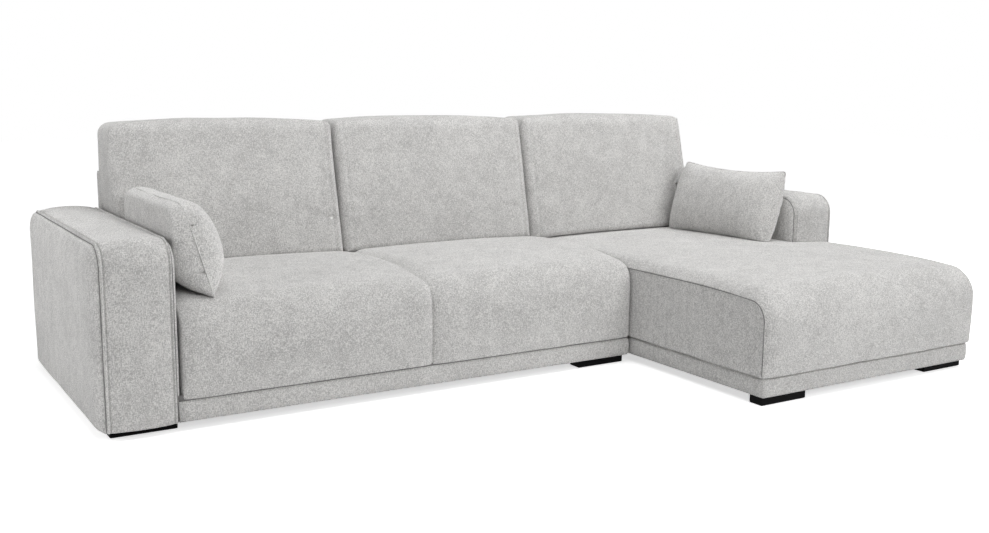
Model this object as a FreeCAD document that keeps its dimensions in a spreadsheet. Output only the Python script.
# Sectional sofa with a chaise on its right-hand end, as a parametric document in millimetres.
# The sofa stands on z = 0 with its back towards +Y, its chaise reaching forward to -Y, and
# x = 0 halfway along its width. Two upholstered modules, each on its own timber base, are
# linked under the seats. Three back cushions and two lumbar pillows are loose.
import FreeCAD, Part
import math
import os
import re
import Sketcher
from FreeCAD import Vector

SIZES = {
    # the whole sofa
    "overall_width": 2980,
    "overall_depth": 1720,
    "module_line": 427,
    "module_gap": 4,
    "clearance": 0.4,
    "loose_clearance": 0.3,
    # feet and base
    "foot_length": 198,
    "foot_depth": 56,
    "foot_height": 28,
    "foot_chamfer": 3,
    "plinth_height": 57,
    "plinth_setback": 14,
    "band_fabric": 5,
    "shadow_gap": 10,
    "dust_sheet": 1,
    "rail_thickness": 25,
    "deck_height": 230,
    "block_side": 80,
    "arm_foot_setback": 35,
    "sofa_foot_setback": 15,
    "sofa_foot_inset": 19,
    "chaise_left_foot_setback": 7,
    "chaise_right_foot_setback": 24,
    "chaise_foot_inset": 3,
    "nose_overhang": 7,
    "rear_foot_setback": 12,
    "arm_foot_inset": 16,
    "screw_recess": 8,
    "foot_screw_inset": 59,
    "front_screw_inset": 18,
    "rear_screw_inset": 42,
    # suspension
    "strap_width": 60,
    "strap_thickness": 2,
    "strap_pitch": 150,
    "back_strap_pitch": 120,
    "felt_thickness": 12,
    "felt_margin": 12,
    # seats
    "seat_run": 955,
    "seat_wall": 5,
    "seat_split": -406.5,
    "seat_gap": 3,
    "seat_seam_height": 345,
    "seat_side_height": 396,
    "seat_crest_run": 372,
    "seat_rear_height": 378,
    "seat_crown": 24,
    "seat_front_roll": 48,
    "seat_roll_rise": 21,
    "seat_front_bulge": 7,
    "seat_shelf_height": 382,
    "chaise_seam_height": 320,
    "chaise_side_height": 356,
    "chaise_crest_run": 380,
    "chaise_rear_height": 340,
    "chaise_crown": 46,
    "chaise_front_roll": 62,
    "chaise_roll_rise": 24,
    "chaise_front_bulge": 10,
    "seat_side_draw": 12,
    "seat_side_roll": 55,
    # arms
    "arm_width": 247,
    "arm_length": 994,
    "arm_seam_height": 568,
    "arm_corner_radius": 68,
    "arm_outer_bulge": 23,
    "arm_inner_bulge": 17,
    "band_crown": 16,
    "band_wall": 8,
    "arm_padding": 22,
    "ply_thickness": 15,
    "arm_window_width": 235,
    "arm_window_height": 330,
    "arm_batten": 60,
    # back
    "back_thickness": 62,
    "back_height": 700,
    "back_rear_inset": 10,
    "back_wall": 5,
    "back_post_width": 45,
    "back_edge_radius": 15,
    # back cushions
    "cushion_gap": 4,
    "cushion_seam": -422,
    "cushion_height": 506,
    "cushion_depth": 287,
    "cushion_top_depth": 172,
    "cushion_front_bulge": 20,
    "cushion_top_crown": 14,
    "cushion_corner": 40,
    "cushion_side_draw": 22,
    "cushion_side_roll": 60,
    "cushion_heel": 30,
    "cushion_brow": 30,
    "cushion_wall": 4,
    # lumbar pillows
    "pillow_length": 600,
    "pillow_height": 290,
    "pillow_thickness": 156,
    "pillow_ear": 22,
    "pillow_lean": 16.5,
    "pillow_stand_off": 98,
    "pillow_gap": 18.6,
    "pillow_sink": 26,
    "pillow_wall": 3,
    # fasteners
    "screw_radius": 4,
    "screw_head_radius": 8,
    "screw_head_height": 5,
    "head_room": 2,
    "screw_reach": 22,
    "link_plate_width": 40,
    "link_plate_length": 56,
    "link_plate_thickness": 3,
    "link_inset": 240,
}

PLACES = {
    "half_width": "overall_width / 2",
    "rear": "overall_depth / 2",
    "sofa_right": "module_line - module_gap / 2",
    "chaise_left": "module_line + module_gap / 2",
    "arm_inner": "half_width - arm_width",
    "inner_seam": "arm_inner + arm_inner_bulge",
    "outer_seam": "half_width - arm_outer_bulge",
    "arm_rear": "rear - band_crown",
    "arm_front": "arm_rear - arm_length",
    "seat_edge": "arm_inner - clearance",
    "back_rear": "rear - back_rear_inset",
    "back_front": "back_rear - back_thickness",
    "seat_rear": "back_front - clearance",
    "seat_front": "seat_rear - seat_run",
    "chaise_front": "chaise_front_bulge - overall_depth / 2",
    "plinth_top": "foot_height + plinth_height",
    "seat_bottom": "plinth_top + shadow_gap",
    "plinth_front": "seat_front + plinth_setback",
    "chaise_plinth_front": "chaise_front + plinth_setback",
    "plinth_rear": "back_rear - plinth_setback",
    "rail_bottom": "foot_height + dust_sheet",
    "rail_front": "plinth_front + band_fabric",
    "chaise_rail_front": "chaise_plinth_front + band_fabric",
    "seat_back_edge": "cushion_front - loose_clearance",
    "base_rear": "plinth_rear - band_fabric",
    "post_front": "back_front + back_wall + clearance",
    "post_rear": "base_rear - clearance",
    "rail_rear": "post_front",
    "sofa_rail_left": "-seat_edge + seat_wall + clearance",
    "sofa_rail_right": "sofa_right - seat_wall - clearance",
    "chaise_plinth_left": "chaise_left + nose_overhang",
    "chaise_rail_left": "chaise_plinth_left + band_fabric + clearance",
    "arm_rail_right": "seat_edge - seat_wall - clearance",
    "nose_plinth_right": "outer_seam",
    "nose_right": "outer_seam + nose_overhang",
    "nose_rail_right": "nose_plinth_right - band_fabric - clearance",
    "nose_rear": "arm_front - band_crown - clearance",
    "nose_rail_rear": "nose_rear - seat_wall - clearance",
    "strap_top": "deck_height + 2 * strap_thickness",
    "foam_bottom": "strap_top + felt_thickness",
    "cushion_bottom": "seat_shelf_height + loose_clearance",
    "cushion_rear": "back_front - clearance",
    "cushion_front": "cushion_rear - cushion_depth",
    "pillow_rear": "cushion_front - pillow_gap",
    "pillow_front": "pillow_rear - pillow_length",
    "arm_core": "band_wall + arm_padding + 2 * clearance",
    "arm_foot_left": "-outer_seam + arm_foot_inset",
    "sofa_foot_left": "sofa_right - sofa_foot_inset - foot_length",
    "chaise_foot_left": "chaise_plinth_left + chaise_foot_inset",
    "nose_foot_left": "nose_plinth_right - chaise_foot_inset - foot_length",
    "rear_foot_front": "plinth_rear - rear_foot_setback - foot_depth",
    "arm_rear_foot_front": "arm_rear - arm_foot_setback - foot_depth",
    "link_front": "plinth_front + link_inset",
    "link_rear": "plinth_rear - link_inset",
}

doc = FreeCAD.newDocument("SectionalSofa")
sheet = doc.addObject("Spreadsheet::Sheet", "Sizes")
for row, (alias, value) in enumerate(SIZES.items(), 1):
    sheet.set(f"A{row}", str(value))
    sheet.setAlias(f"A{row}", alias)
for row, (alias, formula) in enumerate(PLACES.items(), 1):
    sheet.set(f"C{row}", f"={formula}")
    sheet.setAlias(f"C{row}", alias)
doc.recompute()

NODES = []


def size(alias):
    """The number that the sheet holds, or works out, under a name."""
    return float(sheet.get(alias))


def bind(formula):
    """A formula in the sheet's words, as an expression for a property."""
    return re.sub(r"[a-z]\w*", r"Sizes.\g<0>", formula)


def box(name, x, y, z):
    """A board, strap or sheet between a low and a high formula on each axis."""
    solid = doc.addObject("Part::Box", name)
    sides = zip((x, y, z), ("Length", "Width", "Height"), "xyz")
    for (low, high), length, axis in sides:
        solid.setExpression(length, bind(f"({high}) - ({low})"))
        solid.setExpression(f"Placement.Base.{axis}", bind(low))
    return solid


def node(name, solid):
    """Gives an object its sub-part's name and lists it for writing."""
    solid.Label = name
    NODES.append(solid)
    return solid


def group(name, solids):
    """Several like pieces that share one sub-part, each a solid of its own."""
    pieces = doc.addObject("Part::Compound", name)
    pieces.Links = solids
    return node(name, pieces)


def cut(name, base, tool):
    """A piece with another taken out of it."""
    piece = doc.addObject("Part::Cut", name)
    piece.Base = base
    piece.Tool = tool
    return piece


def feature(name, shape):
    """A sewn or moulded form whose shape is worked out below from the sheet's sizes."""
    piece = doc.addObject("Part::Feature", name)
    piece.Shape = shape
    return node(name, piece)


def line(a, b):
    return Part.LineSegment(a, b).toShape()


def arc(a, through, b):
    return Part.Arc(a, through, b).toShape()


def block(x, y, z):
    """A plain solid between pairs of numbers, for cutting the sewn forms."""
    return Part.makeBox(x[1] - x[0], y[1] - y[0], z[1] - z[0], Vector(x[0], y[0], z[0]))


def folded(wires):
    """A closed form of flat folds between outlines whose sides are all straight."""
    rings = [[vertex.Point for vertex in wire.OrderedVertexes] for wire in wires]
    faces = [Part.Face(wires[0]), Part.Face(wires[-1])]
    for near, far in zip(rings, rings[1:]):
        for a, b, c, d in zip(near, near[1:] + near[:1], far[1:] + far[:1], far):
            faces.append(Part.Face(Part.makePolygon([a, b, c, a])))
            faces.append(Part.Face(Part.makePolygon([a, c, d, a])))
    solid = Part.Solid(Part.Shell(faces))
    if solid.Volume < 0:
        solid.reverse()
    return solid.removeSplitter()


def skin(wires):
    """A closed form with straight walls from each outline to the next."""
    edges = [edge for wire in wires for edge in wire.Edges]
    if all(isinstance(edge.Curve, Part.Line) for edge in edges):
        return folded(wires)
    return Part.makeLoft(wires, True, True)


def outline(corners, bulges):
    """A closed wire through corners, where a side with a bulge is an arc and the rest are lines.

    A bulge is the vector from the side's middle to the arc's highest point. A bulge with a
    count is the same arc in so many straight folds, as stitched padding takes it.
    """
    edges = []
    for start, end, bulge in zip(corners, corners[1:] + corners[:1], bulges):
        if bulge is None:
            edges.append(line(start, end))
        elif isinstance(bulge, tuple):
            turn = Part.Arc(start, (start + end) * 0.5 + bulge[0], end)
            points = turn.discretize(bulge[1] + 1)
            edges.extend(line(a, b) for a, b in zip(points, points[1:]))
        else:
            edges.append(arc(start, (start + end) * 0.5 + bulge, end))
    return Part.Wire(edges)


# Screws: hexagon-headed, with flats along the shank, driven up through what they hold. Each
# has a place (x, y), and its head's underside sits on the lower face of what it clamps.
SCREW_SIDES = 8


def screw_pair(name, x, y, head_seat):
    """A screw and the hole that it needs, both bound to the sheet."""
    shank = doc.addObject("Part::Prism", name + "_shank")
    shank.Polygon = SCREW_SIDES
    shank.setExpression("Circumradius", bind("screw_radius"))
    shank.setExpression("Height", bind("screw_reach + foot_height"))
    head = doc.addObject("Part::Prism", name + "_head")
    head.Polygon = 6
    head.setExpression("Circumradius", bind("screw_head_radius"))
    head.setExpression("Height", bind("screw_head_height"))
    hole = doc.addObject("Part::Prism", name + "_hole")
    hole.Polygon = SCREW_SIDES
    hole.setExpression("Circumradius", bind("screw_radius + clearance"))
    hole.setExpression("Height", bind("screw_reach + foot_height + clearance"))
    for piece in (shank, head, hole):
        piece.setExpression("Placement.Base.x", bind(x))
        piece.setExpression("Placement.Base.y", bind(y))
    shank.setExpression("Placement.Base.z", bind(head_seat))
    hole.setExpression("Placement.Base.z", bind(head_seat))
    head.setExpression("Placement.Base.z", bind(f"({head_seat}) - screw_head_height"))
    screw = doc.addObject("Part::Fuse", name)
    screw.Base = shank
    screw.Tool = head
    return screw, hole


def drilled(name, base, holes):
    """A piece with screw holes through it."""
    tools = doc.addObject("Part::Compound", name + "_holes")
    tools.Links = holes
    return cut(name, base, tools)


# Feet: long low blocks with a chamfered sole. Each has a place for its left front corner
# and its screw's place, which lies under a corner block, a low back rail or an arm batten.
FOOT_MIDDLE = ("foot_length / 2", "foot_depth / 2")
SCREW_RIGHT, SCREW_LEFT = "foot_length - foot_screw_inset", "foot_screw_inset"
FEET = {
    "arm_front_foot": ("arm_foot_left", "arm_front + arm_foot_setback", *FOOT_MIDDLE),
    "arm_rear_foot": ("arm_foot_left", "arm_rear_foot_front", *FOOT_MIDDLE),
    "sofa_front_foot": (
        "sofa_foot_left",
        "plinth_front + sofa_foot_setback",
        SCREW_RIGHT,
        "foot_depth - front_screw_inset",
    ),
    "sofa_rear_foot": ("sofa_foot_left", "rear_foot_front", SCREW_RIGHT, "rear_screw_inset"),
    "chaise_left_foot": (
        "chaise_foot_left",
        "chaise_plinth_front + chaise_left_foot_setback",
        SCREW_LEFT,
        "foot_depth - front_screw_inset",
    ),
    "chaise_right_foot": (
        "nose_foot_left",
        "chaise_plinth_front + chaise_right_foot_setback",
        SCREW_RIGHT,
        "foot_depth - front_screw_inset",
    ),
    "chaise_rear_foot": ("chaise_foot_left", "rear_foot_front", SCREW_LEFT, "rear_screw_inset"),
    "chaise_arm_foot": ("-arm_foot_left - foot_length", "arm_rear_foot_front", *FOOT_MIDDLE),
}


def foot(name, x, y):
    """A foot's plan is sketched on the floor plane and padded up to the module's underside."""
    body = doc.addObject("PartDesign::Body", name)
    plan = body.newObject("Sketcher::SketchObject", name + "_plan")
    floor = next(o for o in body.Origin.OriginFeatures if o.Role == "XY_Plane")
    plan.AttachmentSupport = [(floor, "")]
    plan.MapMode = "FlatFace"
    corners = [Vector(0, 0, 0), Vector(100, 0, 0), Vector(100, 50, 0), Vector(0, 50, 0)]
    for start, end in zip(corners, corners[1:] + corners[:1]):
        plan.addGeometry(Part.LineSegment(start, end), False)
    for side in range(4):
        plan.addConstraint(Sketcher.Constraint("Coincident", side, 2, (side + 1) % 4, 1))
    plan.addConstraint(Sketcher.Constraint("Horizontal", 0))
    plan.addConstraint(Sketcher.Constraint("Horizontal", 2))
    plan.addConstraint(Sketcher.Constraint("Vertical", 1))
    plan.addConstraint(Sketcher.Constraint("Vertical", 3))
    plan.addConstraint(Sketcher.Constraint("Coincident", 0, 1, -1, 1))
    length = plan.addConstraint(Sketcher.Constraint("DistanceX", 0, 1, 0, 2, 100))
    depth = plan.addConstraint(Sketcher.Constraint("DistanceY", 1, 1, 1, 2, 50))
    plan.setExpression(f"Constraints[{length}]", bind("foot_length"))
    plan.setExpression(f"Constraints[{depth}]", bind("foot_depth"))
    pad = body.newObject("PartDesign::Pad", name + "_pad")
    pad.Profile = plan
    pad.setExpression("Length", bind("foot_height"))
    doc.recompute()
    sole = [
        f"Edge{number}"
        for number, edge in enumerate(pad.Shape.Edges, 1)
        if edge.BoundBox.ZMax < size("foot_height") / 2
    ]
    chamfer = body.newObject("PartDesign::Chamfer", name + "_sole")
    chamfer.Base = (pad, sole)
    chamfer.setExpression("Size", bind("foot_chamfer"))
    body.setExpression("Placement.Base.x", bind(x))
    body.setExpression("Placement.Base.y", bind(y))
    return body


feet = {}
screws = []
foot_holes = {}
for name, (x, y, screw_x, screw_y) in FEET.items():
    screw, hole = screw_pair(
        name + "_screw", f"{x} + {screw_x}", f"{y} + {screw_y}", "screw_recess"
    )
    pocket = doc.addObject("Part::Prism", name + "_pocket")
    pocket.Polygon = SCREW_SIDES
    pocket.setExpression("Circumradius", bind("screw_head_radius + head_room"))
    pocket.setExpression("Height", bind("screw_recess"))
    pocket.setExpression("Placement.Base.x", bind(f"{x} + {screw_x}"))
    pocket.setExpression("Placement.Base.y", bind(f"{y} + {screw_y}"))
    screws.append(screw)
    foot_holes[name] = hole
    feet[name] = drilled(name + "_drilled", foot(name, x, y), [hole, pocket])
group("sofa_feet", [feet[name] for name in list(FEET)[:4]])
group("chaise_feet", [feet[name] for name in list(FEET)[4:]])
group("foot_screws", screws)

# Link plates: flat steel straps under the rails that meet where the two modules join.
plates = []
link_screws = []
link_holes = []
for number, place in enumerate(("link_front", "link_rear")):
    plate = box(
        f"link_plate_{number}",
        ("module_line - link_plate_length / 2", "module_line + link_plate_length / 2"),
        (f"{place} - link_plate_width / 2", f"{place} + link_plate_width / 2"),
        ("foot_height - link_plate_thickness", "foot_height"),
    )
    holes = []
    for x in ("sofa_rail_right - rail_thickness / 2", "chaise_rail_left + rail_thickness / 2"):
        screw, hole = screw_pair(
            f"link_screw_{len(link_screws)}", x, place, "foot_height - link_plate_thickness"
        )
        link_screws.append(screw)
        holes.append(hole)
    plates.append(drilled(f"link_plate_{number}_drilled", plate, holes))
    link_holes.extend(holes)
group("link_plates", plates)
group("link_screws", link_screws)

# The sofa module's base: a box of rails, with cross rails under the seats.
RAIL = ("rail_bottom", "deck_height")
node("sofa_front_rail", box(
    "sofa_front_rail",
    ("sofa_rail_left", "sofa_rail_right"),
    ("rail_front", "rail_front + rail_thickness"),
    RAIL,
))
node("sofa_rear_rail", box(
    "sofa_rear_rail",
    ("sofa_rail_left", "sofa_rail_right"),
    ("rail_rear - rail_thickness", "rail_rear"),
    RAIL,
))
BETWEEN = ("rail_front + rail_thickness", "rail_rear - rail_thickness")
left_end = box(
    "sofa_left_end_rail", ("sofa_rail_left", "sofa_rail_left + rail_thickness"), BETWEEN, RAIL
)
right_end = box(
    "sofa_right_end_rail", ("sofa_rail_right - rail_thickness", "sofa_rail_right"), BETWEEN, RAIL
)
group("sofa_end_rails", [left_end, drilled("sofa_right_end_drilled", right_end, link_holes)])
CROSS_TOP = "deck_height - 2 * rail_thickness"
cross_rails = [
    box(
        f"sofa_cross_rail_{number}",
        (f"{place} - rail_thickness / 2", f"{place} + rail_thickness / 2"),
        BETWEEN,
        ("rail_bottom", CROSS_TOP),
    )
    for number, place in enumerate(("seat_split", "(sofa_rail_left + seat_split) / 2"))
]
group("sofa_cross_rails", cross_rails)

# The chaise module's base is T-shaped: its nose runs on across the front of the arm.
node("chaise_front_rail", box(
    "chaise_front_rail",
    ("chaise_rail_left", "nose_rail_right"),
    ("chaise_rail_front", "chaise_rail_front + rail_thickness"),
    RAIL,
))
node("chaise_rear_rail", box(
    "chaise_rear_rail",
    ("chaise_rail_left", "arm_rail_right"),
    ("rail_rear - rail_thickness", "rail_rear"),
    RAIL,
))
CHAISE_SIDE = ("chaise_rail_front + rail_thickness", "rail_rear - rail_thickness")
chaise_left_rail = box(
    "chaise_left_rail",
    ("chaise_rail_left", "chaise_rail_left + rail_thickness"),
    CHAISE_SIDE,
    RAIL,
)
nose_rail = box(
    "chaise_nose_rail",
    ("nose_rail_right - rail_thickness", "nose_rail_right"),
    ("chaise_rail_front + rail_thickness", "nose_rail_rear - rail_thickness"),
    RAIL,
)
arm_rail = box(
    "chaise_arm_rail",
    ("arm_rail_right - rail_thickness", "arm_rail_right"),
    ("nose_rail_rear", "rail_rear - rail_thickness"),
    RAIL,
)
group(
    "chaise_side_rails",
    [drilled("chaise_left_rail_drilled", chaise_left_rail, link_holes), nose_rail, arm_rail],
)
shoulder = box(
    "chaise_shoulder_rail",
    ("chaise_rail_left + rail_thickness", "nose_rail_right"),
    ("nose_rail_rear - rail_thickness", "nose_rail_rear"),
    ("rail_bottom", CROSS_TOP),
)
back_cross = box(
    "chaise_back_cross_rail",
    ("chaise_rail_left + rail_thickness", "arm_rail_right - rail_thickness"),
    ("(nose_rear + rail_rear) / 2", "(nose_rear + rail_rear) / 2 + rail_thickness"),
    ("rail_bottom", CROSS_TOP),
)
group("chaise_cross_rails", [shoulder, back_cross])

# Corner blocks fill the inner corners of both bases and take the feet's screws.
BLOCKS = (
    ("sofa_rail_right - rail_thickness - block_side", "rail_front + rail_thickness"),
    ("sofa_rail_right - rail_thickness - block_side", "rail_rear - rail_thickness - block_side"),
    ("sofa_rail_left + rail_thickness", "rail_front + rail_thickness"),
    ("sofa_rail_left + rail_thickness", "rail_rear - rail_thickness - block_side"),
    ("chaise_rail_left + rail_thickness", "chaise_rail_front + rail_thickness"),
    ("chaise_rail_left + rail_thickness", "rail_rear - rail_thickness - block_side"),
    ("nose_rail_right - rail_thickness - block_side", "chaise_rail_front + rail_thickness"),
    ("arm_rail_right - rail_thickness - block_side", "rail_rear - rail_thickness - block_side"),
)
blocks = [
    box(
        f"corner_block_{number}",
        (x, f"{x} + block_side"),
        (y, f"{y} + block_side"),
        ("rail_bottom", "rail_bottom + block_side"),
    )
    for number, (x, y) in enumerate(BLOCKS)
]
BLOCK_FEET = {0: "sofa_front_foot", 4: "chaise_left_foot", 6: "chaise_right_foot"}
for number, name in BLOCK_FEET.items():
    blocks[number] = drilled(f"corner_block_{number}_drilled", blocks[number], [foot_holes[name]])
group("corner_blocks", blocks)


def webbing(name, x, y):
    """Straps woven both ways over a deck between low and high numbers on x and y."""
    straps = []
    width = size("strap_width")
    levels = ((x, y, "x", 0), (y, x, "y", 1))
    for along, across, axis, level in levels:
        count = max(2, round((across[1] - across[0]) / size("strap_pitch")))
        pitch = (across[1] - across[0]) / count
        for number in range(count):
            middle = across[0] + (number + 0.5) * pitch
            strap = doc.addObject("Part::Box", f"{name}_{axis}_{number}")
            ends = {"x": (along, (middle - width / 2, middle + width / 2))}
            ends["y"] = ends["x"][::-1]
            run_x, run_y = ends[axis]
            strap.Length = run_x[1] - run_x[0]
            strap.Width = run_y[1] - run_y[0]
            strap.setExpression("Height", bind("strap_thickness"))
            strap.Placement.Base = Vector(run_x[0], run_y[0], 0)
            strap.setExpression(
                "Placement.Base.z", bind(f"deck_height + {level} * strap_thickness")
            )
            straps.append(strap)
    return group(name, straps)


webbing(
    "sofa_seat_webbing",
    (size("sofa_rail_left"), size("sofa_rail_right")),
    (size("rail_front"), size("rail_rear")),
)
webbing(
    "chaise_seat_webbing",
    (size("chaise_rail_left"), size("arm_rail_right")),
    (size("chaise_rail_front"), size("rail_rear")),
)
node("sofa_seat_felt", box(
    "sofa_seat_felt",
    ("-seat_edge + felt_margin", "sofa_right - felt_margin"),
    ("rail_front", "seat_rear - felt_margin"),
    ("strap_top", "foam_bottom"),
))
node("chaise_seat_felt", box(
    "chaise_seat_felt",
    ("chaise_left + felt_margin", "seat_edge - felt_margin"),
    ("chaise_rail_front", "seat_rear - felt_margin"),
    ("strap_top", "foam_bottom"),
))

# Dust sheets close the underside of each module, arms included.
seat_sheet = box(
    "sofa_seat_dust_sheet",
    ("sofa_rail_left", "sofa_rail_right"),
    ("rail_front", "post_rear"),
    ("foot_height", "rail_bottom"),
)
left_arm_sheet = box(
    "sofa_arm_dust_sheet",
    ("-outer_seam + band_wall + clearance", "sofa_rail_left"),
    ("arm_front + band_wall + clearance", "post_rear"),
    ("foot_height", "rail_bottom"),
)
sofa_sheet = doc.addObject("Part::MultiFuse", "sofa_whole_dust_sheet")
sofa_sheet.Shapes = [seat_sheet, left_arm_sheet]
sofa_sheet_holes = [foot_holes[name] for name in list(FEET)[:4]] + link_holes
node("sofa_dust_cover", drilled("sofa_dust_cover", sofa_sheet, sofa_sheet_holes))
nose_sheet = box(
    "chaise_nose_dust_sheet",
    ("chaise_rail_left", "nose_rail_right"),
    ("chaise_rail_front", "nose_rail_rear"),
    ("foot_height", "rail_bottom"),
)
arm_sheet = box(
    "chaise_arm_dust_sheet",
    ("chaise_rail_left", "outer_seam - band_wall - clearance"),
    ("arm_front + band_wall + clearance", "post_rear"),
    ("foot_height", "rail_bottom"),
)
join_sheet = box(
    "chaise_join_dust_sheet",
    ("chaise_rail_left", "arm_rail_right"),
    ("nose_rail_rear", "arm_front + band_wall + clearance"),
    ("foot_height", "rail_bottom"),
)
whole_sheet = doc.addObject("Part::MultiFuse", "chaise_whole_dust_sheet")
whole_sheet.Shapes = [nose_sheet, join_sheet, arm_sheet]
chaise_sheet_holes = [foot_holes[name] for name in list(FEET)[4:]] + link_holes
node("chaise_dust_cover", drilled("chaise_dust_cover", whole_sheet, chaise_sheet_holes))

# Base bands: the strips of upholstery round the plinth, sewn together at the corners.
BAND = ("foot_height", "plinth_top")
group("sofa_base_band", [
    box("sofa_band_front", ("-seat_edge", "sofa_right"), ("plinth_front", "rail_front"), BAND),
    box(
        "sofa_band_end",
        ("sofa_right - band_fabric", "sofa_right"),
        ("rail_front", "base_rear"),
        BAND,
    ),
    box("sofa_band_rear", ("-seat_edge", "sofa_right"), ("base_rear", "plinth_rear"), BAND),
])
group("chaise_base_band", [
    box(
        "chaise_band_front",
        ("chaise_plinth_left", "nose_plinth_right"),
        ("chaise_plinth_front", "chaise_rail_front"),
        BAND,
    ),
    box(
        "chaise_band_left",
        ("chaise_plinth_left", "chaise_plinth_left + band_fabric"),
        ("chaise_rail_front", "base_rear"),
        BAND,
    ),
    box(
        "chaise_band_nose",
        ("nose_plinth_right - band_fabric", "nose_plinth_right"),
        ("chaise_rail_front", "nose_rear"),
        BAND,
    ),
    box("chaise_band_rear", ("chaise_plinth_left", "seat_edge"), ("base_rear", "plinth_rear"), BAND),
])

# The backs: posts behind the rear rails, rails between them, and webbing across the front.
POST = ("post_front", "post_rear")
POST_TOP = "back_height - back_edge_radius"


def back(name, left, right, post_places, foot_name):
    """One module's back frame. post_places are the posts' left sides."""
    posts = [
        box(
            f"{name}_post_{number}",
            (x, f"{x} + back_post_width"),
            POST,
            ("rail_bottom", f"{POST_TOP} - back_post_width"),
        )
        for number, x in enumerate(post_places)
    ]
    group(f"{name}_back_posts", posts)
    top = box(f"{name}_top_rail", (left, right), POST, (f"{POST_TOP} - back_post_width", POST_TOP))
    low = []
    for number, (x, next_x) in enumerate(zip(post_places, post_places[1:])):
        low.append(box(
            f"{name}_low_rail_{number}",
            (f"{x} + back_post_width", next_x),
            POST,
            ("rail_bottom", "rail_bottom + block_side"),
        ))
    drilled_low = low[-1] if name == "sofa" else low[0]
    low[low.index(drilled_low)] = drilled(
        f"{name}_low_rail_drilled", drilled_low, [foot_holes[foot_name]]
    )
    group(f"{name}_back_rails", [top, *low])


SOFA_POSTS = (
    "sofa_rail_left",
    "seat_split - back_post_width / 2",
    "sofa_rail_right - back_post_width",
)
CHAISE_POSTS = ("chaise_rail_left", "arm_rail_right - back_post_width")
back("sofa", "sofa_rail_left", "sofa_rail_right", SOFA_POSTS, "sofa_rear_foot")
back("chaise", "chaise_rail_left", "arm_rail_right", CHAISE_POSTS, "chaise_rear_foot")

BACK_STRAPS = 3
back_straps = []
for left, right in (("sofa_rail_left", "sofa_rail_right"), ("chaise_rail_left", "arm_rail_right")):
    for number in range(BACK_STRAPS):
        low = f"foam_bottom + strap_pitch / 2 + {number} * back_strap_pitch"
        back_straps.append(box(
            f"back_strap_{len(back_straps)}",
            (left, right),
            ("post_rear", "post_rear + strap_thickness"),
            (low, f"{low} + strap_width"),
        ))
group("back_webbing", back_straps)


def back_cover(name, left, right):
    """The fabric over a back: a hood with a rounded top, open below between its two walls."""
    front, rear_face = size("back_front"), size("back_rear")
    top, low = size("back_height"), size("plinth_top") + size("clearance")
    radius, wall = size("back_edge_radius"), size("back_wall")

    def hood(x, inset, bottom):
        y0, y1, z1 = front + inset, rear_face - inset, top - inset
        r = radius - inset / 2
        corners = [
            Vector(x, y0, bottom), Vector(x, y1, bottom), Vector(x, y1, z1 - r),
            Vector(x, y1 - r, z1), Vector(x, y0 + r, z1), Vector(x, y0, z1 - r),
        ]
        rise = r * (math.sqrt(0.5) - 0.5)
        rear_bulge, front_bulge = Vector(0, rise, rise), Vector(0, -rise, rise)
        return outline(corners, [None, None, rear_bulge, None, front_bulge, None])

    outer = Part.Face(hood(left, 0, low)).extrude(Vector(right - left, 0, 0))
    hollow = Part.Face(hood(left + wall, wall, low - 1))
    hollow = hollow.extrude(Vector(right - left - 2 * wall, 0, 0))
    mouth = block(
        (left - 1, right + 1), (front - 1, rear_face - wall), (low - 1, size("foam_bottom"))
    )
    feature(name, outer.cut([hollow, mouth]))


back_cover("sofa_back_cover", -size("seat_edge"), size("sofa_right"))
back_cover("chaise_back_cover", size("chaise_left"), size("seat_edge"))

# The arms: two plywood sides on battens, a pad of foam round them, and a three-piece cover
# whose outer and inner panels are sewn to a crowned band.


def arm_outline(x, inset, bottom, folds=5):
    """The arm's side view, drawn in all round but for its foot."""
    front, rear_face = size("arm_front") + inset, size("arm_rear") - inset
    top = size("arm_seam_height") - inset
    r = max(size("arm_corner_radius") - inset, 1)
    rise = r * (math.sqrt(0.5) - 0.5)
    corners = [
        Vector(x, front, bottom), Vector(x, front, top - r), Vector(x, front + r, top),
        Vector(x, rear_face - r, top), Vector(x, rear_face, top - r), Vector(x, rear_face, bottom),
    ]
    front_bulge, rear_bulge = (Vector(0, -rise, rise), folds), (Vector(0, rise, rise), folds)
    return outline(corners, [None, front_bulge, None, rear_bulge, None, None])


def slab(left, right, inset, bottom):
    """The arm's side view as a slab between two places on x, given from the middle out."""
    face = Part.Face(arm_outline(left, inset, bottom))
    return face.extrude(Vector(right - left, 0, 0))


# A side panel's shares of its bulge, each with how far inside the seam it is reached.
PANEL_STEPS = ((0, 0), (0.5, 5), (0.85, 26), (1, 70))


def panel_cover(seam, bulge, bottom):
    """A padded side panel that swells from its seam by a bulge, more in the middle."""
    views = [arm_outline(seam + share * bulge, inset, bottom) for share, inset in PANEL_STEPS]
    return skin(views)


# How many flat strips the band's crown is drawn in, and the windows in each side panel.
BAND_STRIPS = 6
ARM_WINDOWS = 3


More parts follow.
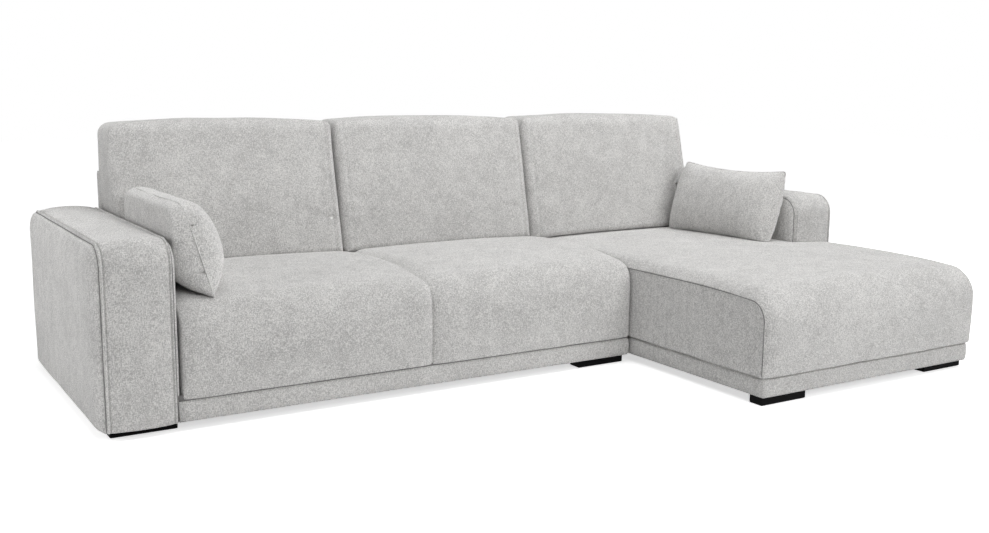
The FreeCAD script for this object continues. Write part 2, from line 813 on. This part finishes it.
def arm(name, side):
    """One arm. It is drawn on the right, and the left one is its mirror image."""
    inner, outer = size("inner_seam"), size("outer_seam")
    floor_height, inside = size("foot_height"), size("rail_bottom")
    wall, pad, fit = size("band_wall"), size("arm_padding"), size("clearance")
    ply, core = size("ply_thickness"), size("arm_core")

    def place(shape):
        if side > 0:
            return shape
        return shape.mirror(Vector(0, 0, 0), Vector(1, 0, 0))

    crown = size("band_crown")
    sections = []
    for number in range(BAND_STRIPS + 1):
        share = number / BAND_STRIPS
        swell = crown * (1 - (2 * share - 1) ** 2)
        sections.append(arm_outline(inner + share * (outer - inner), -swell, floor_height))
    band = skin(sections).cut(slab(inner - 1, outer + 1, wall, floor_height - 1))
    feature(f"{name}_band", place(band))
    feature(f"{name}_outer_cover", place(panel_cover(outer, size("arm_outer_bulge"), floor_height)))
    feature(f"{name}_inner_cover", place(panel_cover(inner, -size("arm_inner_bulge"), inside)))
    padding = slab(inner, outer, wall + fit, inside).cut(
        slab(inner - 1, outer + 1, wall + fit + pad, inside - 1)
    )
    feature(f"{name}_padding", place(padding))

    window_width, window_height = size("arm_window_width"), size("arm_window_height")
    batten = size("arm_batten")
    run = size("arm_length") - 2 * core
    low = inside + batten * 1.5
    windows = []
    pitch = run / ARM_WINDOWS
    for number in range(ARM_WINDOWS):
        middle = size("arm_front") + core + (number + 0.5) * pitch
        windows.append(block(
            (inner - 1, outer + 1),
            (middle - window_width / 2, middle + window_width / 2),
            (low, low + window_height),
        ))
    boards = [
        slab(inner, inner + ply, core, inside).cut(windows),
        slab(outer - ply, outer, core, inside).cut(windows),
    ]
    feature(f"{name}_side_panels", place(Part.makeCompound(boards)))

    rows = []
    span = ("inner_seam + ply_thickness", "outer_seam - ply_thickness")
    if side < 0:
        span = tuple(f"-({end})" for end in reversed(span))
    front_y, rear_y = "arm_front + arm_core", "arm_rear - arm_core"
    board = "2 * arm_batten"
    low_z = ("rail_bottom", "rail_bottom + rail_thickness")
    top = "arm_seam_height - arm_core"
    top_z = (f"{top} - rail_thickness", top)
    runs = (
        ((front_y, f"{front_y} + {board}"), low_z, f"{name}_front_foot"),
        ((f"{rear_y} - {board}", rear_y), low_z, f"{name}_rear_foot"),
        ((f"{front_y} + arm_corner_radius", f"{front_y} + arm_corner_radius + {board}"), top_z, None),
        ((f"{rear_y} - arm_corner_radius - {board}", f"{rear_y} - arm_corner_radius"), top_z, None),
    )
    names = {"left_arm_front_foot": "arm_front_foot", "left_arm_rear_foot": "arm_rear_foot"}
    names["right_arm_rear_foot"] = "chaise_arm_foot"
    for number, (y, z, foot_name) in enumerate(runs):
        rows.append(box(f"{name}_batten_{number}", span, y, z))
        if foot_name in names:
            hole = foot_holes[names[foot_name]]
            rows[-1] = drilled(f"{name}_batten_{number}_drilled", rows[-1], [hole])
    group(f"{name}_battens", rows)


arm("left_arm", -1)
arm("right_arm", 1)


# The seats: crowned pads whose sides and front draw in at the corners, under a fitted cover
# that hangs down over the front rail. Each is lofted across its width through side views.


# How far a seat's front roll swells past its chord, as a share of its run, in flat folds.
ROLL_BULGE, ROLL_FOLDS = 0.13, 3
# The share of a front's belly that is there at a side seam, before the crown adds the rest.
SEAM_BELLY = 0.4
# The share of the crown's rise that the front seam takes up with it.
SEAM_RISE = 0.3


def seat_view(x, spec, draw, lift, inset):
    """A seat's side view at a place across it.

    draw pulls the front edge in, lift raises the top from its side seam, and inset shrinks
    the view by a wall, with flat sides in place of the arcs.
    """
    front = spec["front"] + draw + inset
    rear_face = size("seat_rear") - inset
    rise = lift * spec["crown"]
    shelf = min(size("seat_shelf_height"), spec["rear"] + rise) - inset
    bottom = size("seat_bottom") - (1 if inset else 0)
    back_edge = size("seat_back_edge") - inset
    seam = Vector(x, front, spec["seam"] + SEAM_RISE * rise - draw - inset)
    roll = Vector(x, front + spec["roll"], spec["roll_height"] + rise - inset)
    crest = Vector(x, spec["crest_y"], spec["side"] + rise - inset)
    end = Vector(x, back_edge, spec["rear"] + rise - inset)
    corners = [
        Vector(x, front, bottom), seam, roll, end, Vector(x, back_edge + 1, shelf),
        Vector(x, rear_face, shelf), Vector(x, rear_face, bottom),
    ]
    if inset:
        corners.insert(3, crest)
        return outline(corners, [None] * len(corners))
    middle = (roll + end) * 0.5
    chord = end - roll
    normal = Vector(0, -chord.z, chord.y).normalize()
    height = (crest - middle).dot(normal)
    corner_bulge = (Vector(0, -ROLL_BULGE, ROLL_BULGE) * spec["roll"], ROLL_FOLDS)
    face_bulge = Vector(0, -spec["bulge"] * (SEAM_BELLY + (1 - SEAM_BELLY) * lift), 0)
    return outline(corners, [face_bulge, corner_bulge, normal * height, None, None, None, None])


# The share of a seat's crown that it has reached where its rounded side ends.
ROLL_LIFT = 0.72


def seat_views(spec, left, right, inset):
    """The side views across a seat, from one side seam to the other."""
    roll = size("seat_side_roll")
    draw = size("seat_side_draw")
    middle = (left + right) / 2
    steps = ((0, 1, 0), (draw, 0.25, 0.35), (roll, 0, ROLL_LIFT))
    if inset:
        steps = ((inset, 1, 0), (roll, 0.1, ROLL_LIFT - 0.04))
    views = [seat_view(left + x, spec, pull * draw, lift, inset) for x, pull, lift in steps]
    views.append(seat_view(middle, spec, 0, 1, inset))
    for x, pull, lift in reversed(steps):
        views.append(seat_view(right - x, spec, pull * draw, lift, inset))
    return views


def seat(name, spec, left, right, skirt_left, skirt_right, notch=None):
    """A seat's cover and its foam. The cover's side walls go below the deck where asked."""
    wall, fit = size("seat_wall"), size("clearance")
    deck, bottom = size("foam_bottom"), size("seat_bottom")
    cover = skin(seat_views(spec, left, right, 0))
    hollow = skin(seat_views(spec, left, right, wall))
    core = skin(seat_views(spec, left, right, wall + fit))
    under = block(
        (left + wall if skirt_left else left - 1, right - wall if skirt_right else right + 1),
        (spec["rail"] - fit, size("seat_rear") + 1),
        (bottom - 2, deck),
    )
    base = block((left - 1, right + 1), (spec["rail"] - fit, size("seat_rear") + 1), (0, deck))
    if notch:
        x, y = notch
        far, deep = right + 10, size("seat_rear") + 10
        tall = size("seat_side_height") * 2
        cover = cover.cut(block((x, far), (y, deep), (0, tall)))
        hollow = hollow.cut(block((x - wall, far), (y - wall, deep), (0, tall)))
        core = core.cut(block((x - wall - fit, far), (y - wall - fit, deep), (0, tall)))
        under = under.cut(block((x - wall, far), (y - wall, deep), (0, tall)))
    feature(f"{name}_cover", cover.cut([hollow, under]))
    foam = core.cut(base)
    floor_cut = block((left - 1, right + 1), (spec["front"] - 50, spec["rail"] + 1), (0, bottom + fit))
    feature(f"{name}_foam", foam.cut(floor_cut))


SEAT = {
    "front": size("seat_front") + size("seat_front_bulge"),
    "rail": size("rail_front"),
    "bulge": size("seat_front_bulge"),
    "seam": size("seat_seam_height"),
    "roll": size("seat_front_roll"),
    "roll_height": size("seat_seam_height") + size("seat_roll_rise"),
    "side": size("seat_side_height"),
    "rear": size("seat_rear_height"),
    "crown": size("seat_crown"),
    "crest_y": size("seat_front") + size("seat_crest_run"),
    "half_width": (size("seat_edge") + size("seat_split")) / 2,
    "far_side": size("seat_edge"),
}
CHAISE = {
    "front": size("chaise_front"),
    "rail": size("chaise_rail_front"),
    "bulge": size("chaise_front_bulge"),
    "seam": size("chaise_seam_height"),
    "roll": size("chaise_front_roll"),
    "roll_height": size("chaise_seam_height") + size("chaise_roll_rise"),
    "side": size("chaise_side_height"),
    "rear": size("chaise_rear_height"),
    "crown": size("chaise_crown"),
    "crest_y": size("chaise_front") + size("chaise_crest_run"),
    "half_width": (size("nose_right") - size("chaise_left")) / 2,
    "far_side": size("nose_right"),
}
split, half_gap = size("seat_split"), size("seat_gap") / 2
seat("left_seat", SEAT, -size("seat_edge"), split - half_gap, True, False)
seat("middle_seat", SEAT, split + half_gap, size("sofa_right"), False, True)
seat(
    "chaise_seat",
    CHAISE,
    size("chaise_left"),
    size("nose_right"),
    True,
    True,
    notch=(size("seat_edge"), size("nose_rear")),
)


# The back cushions: wedges that lean back, with a rounded, drawn-in front and top and a flat
# underside. Each is lofted across its width like the seats.


def cushion_view(x, draw, inset):
    """A back cushion's side view, drawn in at the top and front by a share of its corner."""
    pull = draw * size("cushion_corner")
    bottom, rear_face = size("cushion_bottom") + inset, size("cushion_rear") - inset
    top = size("cushion_bottom") + size("cushion_height") - size("cushion_top_crown") - pull - inset
    drawn = draw * size("cushion_side_draw")
    foot_y = size("cushion_front") + drawn + inset
    head_y = size("cushion_rear") - size("cushion_top_depth") + drawn + inset
    heel, brow = size("cushion_heel"), size("cushion_brow")
    corners = [
        Vector(x, foot_y + heel, bottom),
        Vector(x, foot_y, bottom + heel),
        Vector(x, head_y, top - brow),
        Vector(x, rear_face - drawn / 2, top - brow),
        Vector(x, rear_face, bottom + heel),
        Vector(x, rear_face, bottom),
    ]
    if inset:
        return outline(corners, [None] * len(corners))
    crown = brow + size("cushion_top_crown") - 0.5 * pull * draw
    bulges = [
        (Vector(0, -0.18, -0.18) * heel, 2),
        Vector(0, -size("cushion_front_bulge") * (1 - 0.7 * draw), 0),
        Vector(0, 0, crown),
        None,
        None,
        None,
    ]
    return outline(corners, bulges)


def cushion_views(left, right, inset):
    roll = size("cushion_side_roll")
    steps = ((0, 1), (roll * 0.2, 0.4), (roll, 0.1))
    if inset:
        steps = ((roll * 0.2 + inset, 0.5), (roll * 2, 0.1))
    views = [cushion_view(left + x, draw, inset) for x, draw in steps]
    views.append(cushion_view((left + right) / 2, 0, inset))
    views += [cushion_view(right - x, draw, inset) for x, draw in reversed(steps)]
    return views


def back_cushion(name, left, right):
    wall, fit = size("cushion_wall"), size("clearance")
    cover = skin(cushion_views(left, right, 0))
    feature(f"{name}_cover", cover.cut(skin(cushion_views(left, right, wall))))
    feature(f"{name}_filling", skin(cushion_views(left, right, wall + fit)))


gap = size("cushion_gap") / 2
edge = size("seat_edge") - size("clearance")
seams = (-edge - gap, size("cushion_seam"), size("module_line"), edge + gap)
CUSHIONS = ("left_back_cushion", "middle_back_cushion", "right_back_cushion")
for name, left, right in zip(CUSHIONS, seams, seams[1:]):
    back_cushion(name, left + gap, right - gap)


# The lumbar pillows: knife-edged, thick in the middle and thin at the ends, each standing on
# its long edge and leaning on an arm. They are flattened where they meet the seat.


# How many flat folds a pillow's side has, and how many facets it rests on.
PILLOW_FOLDS = 12
BED_FACETS = 4


def pillow_view(along, thick, ear, inset):
    """A pillow's cross-section at a place along it, upright over the line that it stands on."""
    height = size("pillow_height") + ear * size("pillow_ear") - inset
    half = size("pillow_thickness") / 2 * thick - inset
    low, high = Vector(0, along, inset), Vector(0, along, height)
    middle = (low + high) * 0.5
    folds = 2 if inset else PILLOW_FOLDS
    return outline([low, high], [(Vector(half, 0, 0), folds), (Vector(-half, 0, 0), folds)])


def pillow_form(inset):
    length = size("pillow_length")
    steps = ((0, 0.1, 1), (0.035, 0.34, 0.8), (0.14, 0.7, 0.4), (0.5, 1, 0))
    if inset:
        steps = ((0.05, 0.3, 0.6), (0.16, 0.66, 0.3), (0.5, 0.93, 0))
    steps += tuple((1 - place, thick, ear) for place, thick, ear in reversed(steps[:-1]))
    return skin([pillow_view(place * length, thick, ear, inset) for place, thick, ear in steps])


def bed(spec, lift, near, far, raised):
    """The space under a pillow: flat facets that just touch a seat's crowned top."""
    rise = lift * spec["crown"]
    roll = Vector(0, spec["front"] + spec["roll"], spec["roll_height"] + rise)
    crest = Vector(0, spec["crest_y"], spec["side"] + rise)
    end = Vector(0, size("seat_back_edge"), spec["rear"] + rise)
    curve = arc(roll, crest, end).Curve
    centre, radius = curve.Center, curve.Radius
    ends = [math.asin((y - centre.y) / radius) for y in (near, far)]
    step = (ends[1] - ends[0]) / BED_FACETS
    reach = (radius + raised) / math.cos(step / 2)
    points = []
    for number in range(BED_FACETS + 2):
        angle = ends[0] + (number - 0.5) * step
        points.append(centre + Vector(0, math.sin(angle), math.cos(angle)) * reach)
    floor_points = [Vector(0, points[-1].y, 0), Vector(0, points[0].y, 0)]
    return Part.Face(Part.makePolygon(points + floor_points + points[:1]))


def pillow(name, side, spec):
    """Stands a pillow against an arm and flattens it on the seat and on the arm's face."""
    stand = size("arm_inner") - size("pillow_stand_off")
    from_side = spec["far_side"] - stand + size("pillow_sink") / 2
    roll, middle = size("seat_side_roll"), spec["half_width"]
    lift = ROLL_LIFT + (1 - ROLL_LIFT) * (from_side - roll) / (middle - roll)
    crest = spec["side"] + spec["crown"] * lift
    near, far = size("pillow_front"), size("pillow_rear")
    base = Vector(side * stand, near, crest - size("pillow_sink"))
    wall, fit = size("pillow_wall"), size("clearance")
    face = size("arm_inner")
    forms = []
    for inset in (0, wall, wall + fit):
        form = pillow_form(inset)
        form.rotate(Vector(0, 0, 0), Vector(0, 1, 0), side * size("pillow_lean"))
        form.translate(base)
        raised = size("loose_clearance") + inset
        under = bed(spec, lift, near, far, raised).extrude(Vector(2 * face, 0, 0))
        under.translate(Vector(-face, 0, 0))
        reach = (face - raised, face + size("arm_width"))
        if side < 0:
            reach = (-reach[1], -reach[0])
        arm_space = block(reach, (near - 1, far + 1), (0, size("overall_depth")))
        forms.append(form.cut([under, arm_space]))
    whole, hollow, filling = forms
    feature(f"{name}_cover", whole.cut(hollow))
    feature(f"{name}_filling", filling)


pillow("left_pillow", -1, SEAT)
pillow("right_pillow", 1, CHAISE)

doc.recompute()
faults = []
for piece in doc.Objects:
    if {"Invalid", "Error"} & set(piece.State):
        faults.append(f"{piece.Label}: {piece.State}")
for piece in NODES:
    if piece.Shape.isNull() or not piece.Shape.isValid() or piece.Shape.Volume <= 0:
        faults.append(f"{piece.Label}: no valid solid")
if faults:
    raise RuntimeError("; ".join(faults))

os.makedirs("parts", exist_ok=True)
for piece in NODES:
    piece.Shape.exportStep(f"parts/{piece.Label}.step")
whole = Part.makeCompound([piece.Shape for piece in NODES]).BoundBox
print(f"{len(NODES)} sub-parts, {whole.XLength:.1f} x {whole.YLength:.1f} x {whole.ZLength:.1f} mm")
